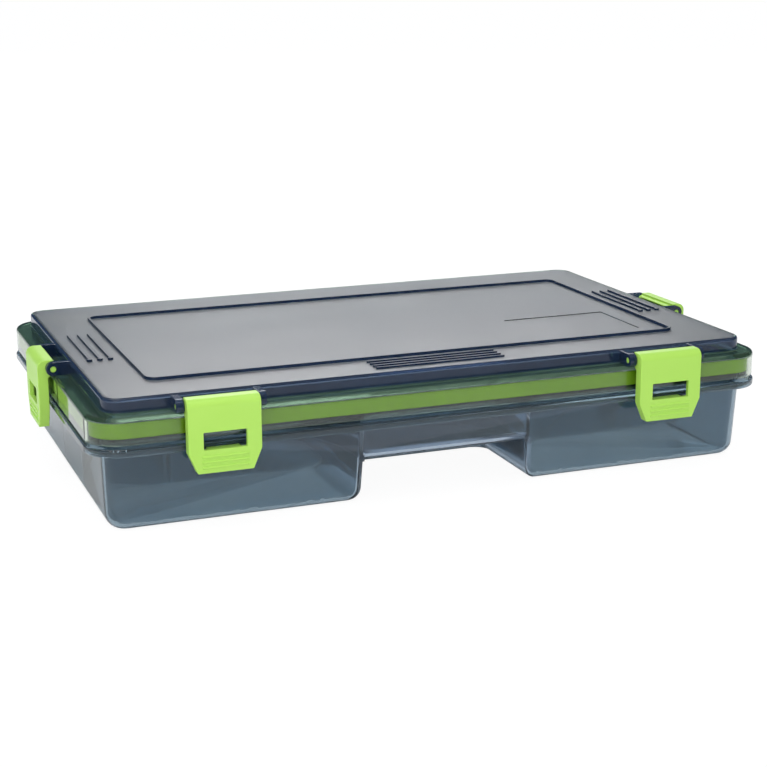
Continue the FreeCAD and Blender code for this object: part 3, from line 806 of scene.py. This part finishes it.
RIDGE_COUNT, RIDGE_FIRST, RIDGE_PITCH, RIDGE_HALF_WIDTH, RIDGE_HEIGHT = 3, 2.2, 2.6, 11.4, 1.2
RIDGE_OUT, RIDGE_SOFT = LATCH_OUT - 0.5, 0.45
parts = []
for index in range(RIDGE_COUNT):
    z = LATCH_FOOT_Z + RIDGE_FIRST + index * RIDGE_PITCH
    ridge = start_block("ridge", (-RIDGE_HALF_WIDTH, RIDGE_OUT, z),
                        (RIDGE_HALF_WIDTH, face_back, z + RIDGE_HEIGHT))
    pick("EDGE", lambda edge: all(at(v.co.y, RIDGE_OUT) for v in edge.verts))
    soften(RIDGE_SOFT, 3)
    leave_edit()
    parts.append(ridge)
STUB_SOFT = 0.3
stub_end = LATCH_HALF_WIDTH + EAR_THICK
length = stub_end - room_half
for start in (-stub_end, room_half):
    stub = rod("stub", STUB_RADIUS, (start, 0, PIVOT_Z), length)
    pick("EDGE", lambda edge: all(at(abs(v.co.x), stub_end) for v in edge.verts))
    soften(STUB_SOFT, 2)
    leave_edit()
    parts.append(stub)
boolean(latch, gather(parts, "ridges_and_stubs"), "UNION")
print("latch faces:", len(latch.data.polygons))

# %% Soft rims and four copies
LATCH_SOFT = 0.22
soften_rims(latch, LATCH_SOFT)
finish_surface(latch)
latches = {}
for name, place, turn in LATCH_PLACES:
    latches[name] = turned_copy(latch, name + "_look", place, turn)
bpy.data.objects.remove(latch)
print("latches:", len(latches))

# %% [markdown]
# ## Hinge pins
#
# Each hinge turns on a short steel pin whose ends are chamfered, so that it slides into the
# knuckles.

# %% Hinge pins
PIN_SHORT, PIN_CHAMFER = 0.5, 0.35
length = TRAY_KNUCKLE_WIDTH + 2 * (KNUCKLE_GAP + LID_KNUCKLE_WIDTH - PIN_SHORT)
pins = {}
for side, name in ((-1, "hinge_pin_left"), (1, "hinge_pin_right")):
    pin = rod(name + "_look", PIN_RADIUS, (side * HINGE_X - length / 2, HINGE_Y, HINGE_Z), length, 40)
    pick("EDGE", lambda edge: not runs_along(edge, 0))
    soften(PIN_CHAMFER, 2)
    leave_edit()
    finish_surface(pin)
    pins[name] = pin
print("pins:", len(pins), "length", length, "mm")

# %% [markdown]
# ## Dividers
#
# The loose dividers are thin plates with cut corners, and a notch in the top edge to grip them
# by. The CAD node of each gives its place, so every plate starts as a block of that size.

# %% Dividers
DIVIDER_CORNER, FOOT_CUT, DIVIDER_SOFT = 4.0, 8.0, 0.2
NOTCH_DEPTH, NOTCH_ROUND = 5.0, 1.5
WALL_LEAN, WALL_HEIGHT, TRAY_FLOOR = 1.8, 43.9, 2.0
REAR_LEAN = WALL_LEAN * (1 - TRAY_FLOOR / WALL_HEIGHT)
dividers = {}
for name in sorted(n for n in nodes if n.startswith("divider")):
    low, high = [list(corner / MM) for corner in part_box(name)]
    front_cut = FOOT_CUT if "front_row" in name else DIVIDER_CORNER / 2
    rear_cut = FOOT_CUT if "back_row" in name else DIVIDER_CORNER / 2
    plate = start_block(name + "_look", low, high)
    if "back_row" in name:
        pick("VERT", lambda v: at(v.co.y, high[1]) and at(v.co.z, low[2]))
        shift(0, -REAR_LEAN, 0)
    for y_place, cut, z_place in ((low[1], front_cut, low[2]), (high[1], rear_cut, low[2]),
                                  (low[1], DIVIDER_CORNER, high[2]), (high[1], DIVIDER_CORNER, high[2])):
        pick("EDGE", edges_at(z_place, lambda point: abs(point.y - y_place) < REAR_LEAN + 0.1))
        bpy.ops.mesh.bevel(offset=cut * MM, segments=1 if z_place == low[2] else 5, affect="EDGES")
    leave_edit()
    middle = (low[1] + high[1]) / 2
    half = (high[1] - low[1]) / 4
    notch = start_block("notch", (low[0] - 1, middle - half, high[2] - NOTCH_DEPTH),
                        (high[0] + 1, middle + half, high[2] + NOTCH_DEPTH))
    pick("VERT", lambda v: at(v.co.z, high[2] - NOTCH_DEPTH))
    bpy.ops.transform.resize(value=(1, (half - NOTCH_DEPTH) / half, 1))
    pick("VERT", lambda v: at(v.co.z, high[2] + NOTCH_DEPTH))
    bpy.ops.transform.resize(value=(1, (half + NOTCH_DEPTH) / half, 1))
    pick("EDGE", lambda edge: edges_at(high[2] - NOTCH_DEPTH)(edge) and runs_along(edge, 0))
    soften(NOTCH_ROUND, 4)
    leave_edit()
    boolean(plate, notch, "DIFFERENCE")
    soften_rims(plate, DIVIDER_SOFT)
    finish_surface(plate)
    dividers[name] = plate
print("dividers:", len(dividers))

# %% [markdown]
# ## The tray
#
# The tray's walls, partitions, ribs, lip and hinge brackets are one moulding with many fillets,
# and its solid has the right shape. A copy of its mesh is merged, because the frame's triangles
# are loose, and gets smooth fillets beside flat walls. That keeps each wall clear where a plain
# smooth shade would make it ripple.

# %% Tray
tray = nodes["base_tray"].copy()
tray.data = nodes["base_tray"].data.copy()
tray.name = "base_tray_look"
tray.parent = None
bpy.context.collection.objects.link(tray)
for key in list(tray.keys()):
    del tray[key]
tray.data.materials.clear()
finish_surface(tray)
print("tray faces:", len(tray.data.polygons))

# %% [markdown]
# ## Finishes
#
# All the plastics share the marks of moulding and use: slow ripples from the mould, a cloudy
# change of tint and soft scuffs from handling. These sit in one node group that gives values
# only, and every material uses it with its own strength. Colours and shaders stay in the material
# itself. Each finish is given by its two tints, its tint where it is worn, its lowest and highest
# roughness, the height of its ripples in millimetres and how scuffed it is.

# %% The shared group of moulding and wear marks


def new_group(name, inputs, outputs):
    """An empty shader group with named sockets."""
    group = bpy.data.node_groups.new(name, "ShaderNodeTree")
    for label, kind, value in inputs:
        socket = group.interface.new_socket(name=label, in_out="INPUT", socket_type=kind)
        if value is not None:
            socket.default_value = value
    for label, kind in outputs:
        group.interface.new_socket(name=label, in_out="OUTPUT", socket_type=kind)
    return group, group.nodes.new("NodeGroupInput"), group.nodes.new("NodeGroupOutput")


def maths(tree, operation, first, second):
    """A maths node with each side a socket or a number."""
    node = tree.nodes.new("ShaderNodeMath")
    node.operation = operation
    for socket, value in zip(node.inputs, (first, second)):
        if isinstance(value, (int, float)):
            socket.default_value = value
        else:
            tree.links.new(value, socket)
    return node.outputs[0]


def noise(tree, vector, scale, detail, roughness=0.5):
    """A noise texture's value on a vector."""
    node = tree.nodes.new("ShaderNodeTexNoise")
    node.inputs["Scale"].default_value = scale
    node.inputs["Detail"].default_value = detail
    node.inputs["Roughness"].default_value = roughness
    tree.links.new(vector, node.inputs["Vector"])
    return node.outputs["Fac"]


def spread(tree, value, low, high, to_low=0.0, to_high=1.0):
    """A value's range stretched to another range, and clamped to it."""
    node = tree.nodes.new("ShaderNodeMapRange")
    labels = ("From Min", "From Max", "To Min", "To Max")
    for label, amount in zip(labels, (low, high, to_low, to_high)):
        node.inputs[label].default_value = amount
    tree.links.new(value, node.inputs["Value"])
    return node.outputs["Result"]


CLOUD_SCALE, SCUFF_SCALE, RIPPLE_SCALE = 22, 30, 38
CLOUD_RANGE, SCUFF_RANGE = (0.3, 0.7), (0.45, 0.75)
marks, marks_in, marks_out = new_group(
    "moulding_marks",
    (("Vector", "NodeSocketVector", None), ("Scuffs", "NodeSocketFloat", 0.5)),
    (("Cloud", "NodeSocketFloat"), ("Wear", "NodeSocketFloat"), ("Height", "NodeSocketFloat")))
place = marks_in.outputs["Vector"]
cloud = spread(marks, noise(marks, place, CLOUD_SCALE, 3), *CLOUD_RANGE)
scuff = spread(marks, noise(marks, place, SCUFF_SCALE, 1), *SCUFF_RANGE)
wear = maths(marks, "MULTIPLY", scuff, marks_in.outputs["Scuffs"])
height = noise(marks, place, RIPPLE_SCALE, 2)
marks.links.new(cloud, marks_out.inputs["Cloud"])
marks.links.new(wear, marks_out.inputs["Wear"])
marks.links.new(height, marks_out.inputs["Height"])
print("nodes in the shared group:", len(marks.nodes))

# %% A plastic or rubber from the group
WORN_ROUGHER = 0.1


def finish(name, dark, light, worn, smooth, rough, bump_mm, scuffs, **constants):
    """A material whose colour and gloss follow the shared marks, with constants for the shader."""
    made = bpy.data.materials.new(name)
    made.use_nodes = True
    tree = made.node_tree
    shader = tree.nodes["Principled BSDF"]
    for label, value in constants.items():
        shader.inputs[label.replace("_", " ")].default_value = value
    where = tree.nodes.new("ShaderNodeTexCoord")
    group = tree.nodes.new("ShaderNodeGroup")
    group.node_tree = marks
    group.inputs["Scuffs"].default_value = scuffs
    tree.links.new(where.outputs["Object"], group.inputs["Vector"])
    blend = tree.nodes.new("ShaderNodeMix")
    blend.data_type = "RGBA"
    blend.inputs["A"].default_value = (*dark, 1)
    blend.inputs["B"].default_value = (*light, 1)
    tree.links.new(group.outputs["Cloud"], blend.inputs["Factor"])
    over = tree.nodes.new("ShaderNodeMix")
    over.data_type = "RGBA"
    over.inputs["B"].default_value = (*worn, 1)
    tree.links.new(blend.outputs["Result"], over.inputs["A"])
    tree.links.new(group.outputs["Wear"], over.inputs["Factor"])
    tree.links.new(over.outputs["Result"], shader.inputs["Base Color"])
    gloss = maths(tree, "ADD", spread(tree, group.outputs["Cloud"], 0, 1, smooth, rough),
                  maths(tree, "MULTIPLY", group.outputs["Wear"], WORN_ROUGHER))
    tree.links.new(gloss, shader.inputs["Roughness"])
    bump = tree.nodes.new("ShaderNodeBump")
    bump.inputs["Strength"].default_value = 1.0
    bump.inputs["Distance"].default_value = bump_mm * MM
    tree.links.new(group.outputs["Height"], bump.inputs["Height"])
    tree.links.new(bump.outputs["Normal"], shader.inputs["Normal"])
    return made


print("a finish takes its marks from:", marks.name)

# %% Every plastic and the rubber
CLEAR = {"Transmission_Weight": 1.0, "IOR": 1.49}
TRAY_CLEAR = {"Transmission_Weight": 0.93, "IOR": 1.49}
tray_plastic = finish("tray_plastic", (0.22, 0.31, 0.385), (0.26, 0.35, 0.41), (0.29, 0.38, 0.43),
                      0.06, 0.11, 0.02, 0.2, **TRAY_CLEAR)
lid_plastic = finish("lid_plastic", (0.58, 0.65, 0.57), (0.61, 0.68, 0.60), (0.62, 0.68, 0.61),
                     0.02, 0.04, 0.01, 0.1, **CLEAR)
# Painted shade: a darker copy of the lid's plastic on the flange, for the darker look along the plastic
# there.
lid_edge_painted_shade = finish("lid_edge_painted_shade", (0.06, 0.12, 0.075), (0.075, 0.14, 0.09), (0.09, 0.15, 0.10),
                  0.07, 0.11, 0.0, 0.0, Transmission_Weight=0.65, IOR=1.2)
# Painted light: a lighter copy of the tray's plastic round the grip recess, for the light that passes
# there.
tray_painted_light = finish("tray_painted_light", (0.39, 0.48, 0.59), (0.43, 0.52, 0.63), (0.46, 0.55, 0.65),
                   0.06, 0.11, 0.02, 0.2, **TRAY_CLEAR)
lid_satin = finish("lid_satin", (0.27, 0.285, 0.30), (0.30, 0.315, 0.33), (0.30, 0.315, 0.33),
                   0.28, 0.30, 0.0, 0.0, **CLEAR)
# Painted shade: the darkest copy of the lid's plastic, for the upright band round the plate, the ribs'
# sides and the ears.
lid_band_painted_shade = finish("lid_band_painted_shade", (0.018, 0.042, 0.105), (0.025, 0.052, 0.12), (0.04, 0.07, 0.13),
                  0.10, 0.16, 0.01, 0.1, Transmission_Weight=0.6, IOR=1.45)
divider_plastic = finish("divider_plastic", (0.36, 0.42, 0.47), (0.40, 0.46, 0.51), (0.46, 0.52, 0.56),
                         0.08, 0.14, 0.02, 0.2, **CLEAR)
latch_plastic = finish("latch_plastic", (0.43, 0.75, 0.105), (0.46, 0.78, 0.12), (0.49, 0.80, 0.15),
                       0.34, 0.42, 0.02, 0.3, IOR=1.46)
seal_rubber = finish("seal_rubber", (0.46, 0.80, 0.015), (0.49, 0.83, 0.02), (0.50, 0.82, 0.04),
                     0.50, 0.60, 0.03, 0.3, IOR=1.45)
print("plastics:", len(bpy.data.materials))

# %% Drawn steel for the pins
STEEL_DARK, STEEL_LIGHT, STEEL_ROUGHNESS = (0.52, 0.52, 0.53), (0.68, 0.68, 0.68), (0.22, 0.38)
GRAIN_STRETCH = (30, 1500, 1500)
pin_steel = bpy.data.materials.new("pin_steel")
pin_steel.use_nodes = True
tree = pin_steel.node_tree
shader = tree.nodes["Principled BSDF"]
shader.inputs["Metallic"].default_value = 1.0
where = tree.nodes.new("ShaderNodeTexCoord")
mapping = tree.nodes.new("ShaderNodeMapping")
mapping.inputs["Scale"].default_value = GRAIN_STRETCH
tree.links.new(where.outputs["Object"], mapping.inputs["Vector"])
grain = noise(tree, mapping.outputs[0], 1, 2)
tone = tree.nodes.new("ShaderNodeMix")
tone.data_type = "RGBA"
tone.inputs["A"].default_value = (*STEEL_DARK, 1)
tone.inputs["B"].default_value = (*STEEL_LIGHT, 1)
tree.links.new(grain, tone.inputs["Factor"])
tree.links.new(tone.outputs["Result"], shader.inputs["Base Color"])
tree.links.new(spread(tree, grain, *CLOUD_RANGE, *STEEL_ROUGHNESS), shader.inputs["Roughness"])
print("steel nodes:", len(tree.nodes))

# %% [markdown]
# ## Put the finishes on and hand the pieces to their bodies
#
# Each new piece takes the place of one piece of the construction, whose node is hidden, and rides
# on the same body. The lid needs four finishes: its skirt is clear, its top is satin, its flange
# takes a darker copy of the plastic, painted shade for the look along the plastic there, and the
# upright band round the plate, the ribs' sides and the ears take the darkest copy, also painted
# shade. The tray needs two: round the grip recess a lighter copy of its plastic is painted light,
# for the light that passes there.

# %% The lid's four finishes
LID_FINISHES = (lid_plastic, lid_satin, lid_band_painted_shade, lid_edge_painted_shade)
SATIN, BAND_SHADE, EDGE = 1, 2, 3
LEVEL, PLATE_EDGE, PLATE_MARGIN, TOP_MARGIN, BAND_FOOT, FLANGE_EDGE = 0.9, 1.7, 0.2, 0.01, 0.5, 0.3
for finish_used in LID_FINISHES:
    lid.data.materials.append(finish_used)
counts = [0] * len(LID_FINISHES)
for face in lid.data.polygons:
    middle = face.center / MM
    inside = inset_of(middle)
    on_plate = middle.z > LID_TOP_Z - PLATE_EDGE and inside > PLATE_INSET + PLATE_MARGIN
    on_band = middle.z > LEDGE_Z + BAND_FOOT and inside < PLATE_INSET + PLATE_EDGE
    if face.normal.z > LEVEL and on_plate:
        face.material_index = SATIN
    # The upright band, the ribs' sides and the ears take the darkest copy, painted shade.
    elif middle.z > LID_TOP_Z - TOP_MARGIN or on_band:
        face.material_index = BAND_SHADE
    # The flange's top and rounded edge take the darker copy, painted shade.
    elif inside < PLATE_INSET and middle.z > FLANGE_UNDER_Z + FLANGE_EDGE:
        face.material_index = EDGE
    counts[face.material_index] += 1
print("clear, satin, dark and edge faces:", counts)

# %% The tray's two finishes
RECESS_HALF_X, RECESS_BACK_Y = 47.5, -42.0
for finish_used in (tray_plastic, tray_painted_light):
    tray.data.materials.append(finish_used)
painted_light_faces = 0
for face in tray.data.polygons:
    middle = face.center / MM
    # Faces round the grip recess take the lighter copy, painted light.
    if abs(middle.x) < RECESS_HALF_X and middle.y < RECESS_BACK_Y and middle.z < SKIRT_FOOT_Z:
        face.material_index = 1
        painted_light_faces += 1
print("faces round the grip recess:", painted_light_faces)

# %% Every piece's finish and body, with its node hidden


def hand_over(piece, material, body, node):
    """Give a piece its finish and its body, and hide the node that it takes the place of."""
    if material is not None:
        piece.data.materials.clear()
        piece.data.materials.append(material)
    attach(piece, body)
    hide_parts(node)


hand_over(tray, None, "tray", "base_tray")
hand_over(lid, None, "lid", "lid_shell")
hand_over(seal, seal_rubber, "tray", "rim_seal")
for name, piece in latches.items():
    hand_over(piece, latch_plastic, name, name)
for name, piece in pins.items():
    hand_over(piece, pin_steel, "tray", name)
for name, piece in dividers.items():
    hand_over(piece, divider_plastic, "tray", name)
print("pieces handed over:", 3 + len(latches) + len(pins) + len(dividers))

# %% Light paths long enough for many clear walls
LIGHT_BOUNCES = 32
bpy.context.scene.cycles.max_bounces = LIGHT_BOUNCES
bpy.context.scene.cycles.transmission_bounces = LIGHT_BOUNCES
print("bounces:", LIGHT_BOUNCES)
